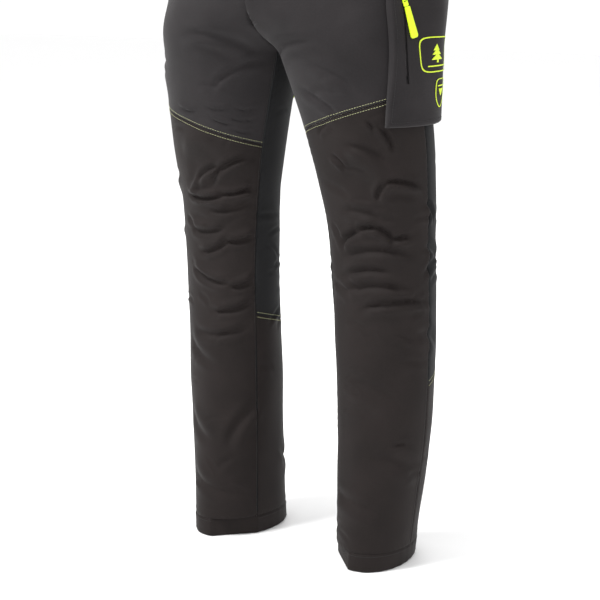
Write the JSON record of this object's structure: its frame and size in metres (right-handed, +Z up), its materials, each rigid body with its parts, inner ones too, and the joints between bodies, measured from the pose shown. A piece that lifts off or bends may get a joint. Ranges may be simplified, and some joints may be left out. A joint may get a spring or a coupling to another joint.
{
  "type": "chainsaw protective trousers",
  "caption": "Full-length work trousers with cut-resistant pads behind the leg fronts, waistband with belt loops, zipped fly, zipped thigh pocket and rear ventilation zips.",
  "frame": {"origin": "centre of the waist opening, level with the top of the waistband", "axes": "+Z up, -Y to the front, +X to the wearer's left"},
  "size_m": [0.4569, 0.2744, 1.0572],
  "materials": {
    "stretch_cloth": "matt dark grey four-way stretch softshell weave",
    "tough_cloth": "matt brownish black hard-wearing plain weave",
    "back_cloth": "matt near-black stretch weave",
    "pad_layers": "undyed knitted cut-resistant layers, quilted edge",
    "lining_mesh": "matt black knitted mesh",
    "pocket_cloth": "matt dark pocketing",
    "tape_cloth": "matt black zip tape with black teeth",
    "neon_plastic": "satin fluorescent yellow moulded plastic",
    "neon_print": "thin fluorescent transfer print",
    "dark_metal": "dark nickel plated"
  },
  "bodies": {
    "trousers": {"front_thigh_panel_left": "stretch_cloth", "hand_pocket_welt_left": "stretch_cloth", "front_shin_panel_left": "tough_cloth", "back_calf_panel_left": "tough_cloth", "hem_band_left": "tough_cloth", "back_thigh_panel_left": "back_cloth", "back_pocket_left": "back_cloth", "cut_protection_pad_left": "pad_layers", "leg_lining_left": "lining_mesh", "hand_pocket_bag_left": "pocket_cloth", "front_thigh_panel_right": "stretch_cloth", "hand_pocket_welt_right": "stretch_cloth", "front_shin_panel_right": "tough_cloth", "back_calf_panel_right": "tough_cloth", "hem_band_right": "tough_cloth", "back_thigh_panel_right": "back_cloth", "back_pocket_right": "back_cloth", "cut_protection_pad_right": "pad_layers", "leg_lining_right": "lining_mesh", "hand_pocket_bag_right": "pocket_cloth", "waistband": "stretch_cloth", "cargo_pocket": "stretch_cloth", "belt_loop_1": "stretch_cloth", "belt_loop_2": "stretch_cloth", "belt_loop_3": "stretch_cloth", "belt_loop_4": "stretch_cloth", "belt_loop_5": "stretch_cloth", "belt_loop_6": "stretch_cloth", "belt_loop_7": "stretch_cloth", "vent_zip_left_tape_outer": "tape_cloth", "vent_zip_left_tape_inner": "tape_cloth", "vent_zip_left_bottom_stop": "dark_metal", "vent_zip_right_tape_outer": "tape_cloth", "vent_zip_right_tape_inner": "tape_cloth", "vent_zip_right_bottom_stop": "dark_metal", "fly_zip_tape_outer": "tape_cloth", "fly_zip_tape_inner": "tape_cloth", "fly_zip_bottom_stop": "dark_metal", "cargo_zip_tape_outer": "tape_cloth", "cargo_zip_tape_inner": "tape_cloth", "cargo_zip_bottom_stop": "neon_plastic", "snap_stud": "dark_metal", "pocket_print": "neon_print"},
    "waist_tab": {"waist_tab": "stretch_cloth", "snap_cap": "dark_metal"},
    "fly_cover": {"fly_cover": "stretch_cloth"},
    "fly_zip_slider": {"fly_zip_slider": "dark_metal"},
    "fly_zip_pull": {"fly_zip_pull": "dark_metal"},
    "cargo_zip_slider": {"cargo_zip_slider": "neon_plastic"},
    "cargo_zip_pull": {"cargo_zip_pull": "neon_plastic", "cargo_zip_grip": "neon_plastic"},
    "back_pocket_flap_left": {"back_pocket_flap_left": "back_cloth"},
    "back_pocket_flap_right": {"back_pocket_flap_right": "back_cloth"},
    "vent_zip_left_slider": {"vent_zip_left_slider": "dark_metal"},
    "vent_zip_left_pull": {"vent_zip_left_pull": "neon_plastic"},
    "vent_zip_right_slider": {"vent_zip_right_slider": "dark_metal"},
    "vent_zip_right_pull": {"vent_zip_right_pull": "neon_plastic"}
  },
  "joints": [
    {"name": "waist_tab_hinge", "type": "hinge", "parent": "trousers", "child": "waist_tab", "pos_m": [0.03898, -0.11386, 0], "axis": [0.0005, 0.1269, 0.9919], "range_deg": [0, 100]},
    {"name": "fly_cover_hinge", "type": "hinge", "parent": "trousers", "child": "fly_cover", "pos_m": [0.03661, -0.12098, -0.048], "axis": [0.0003, 0.1268, 0.9919], "range_deg": [0, 100]},
    {"name": "fly_zip_slide", "type": "slide", "parent": "trousers", "child": "fly_zip_slider", "axis": [0, -0.1247, -0.9922], "range_m": [0, 0.111]},
    {"name": "fly_zip_pull_hinge", "type": "hinge", "parent": "fly_zip_slider", "child": "fly_zip_pull", "pos_m": [0, -0.11996, -0.06485], "axis": [-1, 0, 0], "range_deg": [0, 15]},
    {"name": "vent_zip_left_slide", "type": "slide", "parent": "trousers", "child": "vent_zip_left_slider", "axis": [0.1927, 0.034, -0.9807], "range_m": [0, 0.14]},
    {"name": "vent_zip_left_pull_hinge", "type": "hinge", "parent": "vent_zip_left_slider", "child": "vent_zip_left_pull", "pos_m": [0.0391, 0.04443, -0.34053], "axis": [0.7242, 0.6694, 0.1655], "range_deg": [0, 165]},
    {"name": "vent_zip_right_slide", "type": "slide", "parent": "trousers", "child": "vent_zip_right_slider", "axis": [-0.1927, 0.034, -0.9807], "range_m": [0, 0.14]},
    {"name": "vent_zip_right_pull_hinge", "type": "hinge", "parent": "vent_zip_right_slider", "child": "vent_zip_right_pull", "pos_m": [-0.0391, 0.04443, -0.34053], "axis": [0.7242, -0.6694, -0.1655], "range_deg": [0, 165]},
    {"name": "cargo_zip_slide", "type": "slide", "parent": "trousers", "child": "cargo_zip_slider", "axis": [0.0866, -0.0146, -0.9961], "range_m": [0, 0.1004]},
    {"name": "cargo_zip_pull_hinge", "type": "hinge", "parent": "cargo_zip_slider", "child": "cargo_zip_pull", "pos_m": [0.21216, -0.05961, -0.20825], "axis": [-0.3366, -0.9054, -0.2589], "range_deg": [0, 165]},
    {"name": "back_pocket_flap_left_hinge", "type": "hinge", "parent": "trousers", "child": "back_pocket_flap_left", "pos_m": [0.0956, 0.11031, -0.092], "axis": [0.936, -0.3519, 0], "range_deg": [0, 110]},
    {"name": "back_pocket_flap_right_hinge", "type": "hinge", "parent": "trousers", "child": "back_pocket_flap_right", "pos_m": [-0.0956, 0.11031, -0.092], "axis": [0.936, 0.3519, 0], "range_deg": [0, 110]}
  ]
}
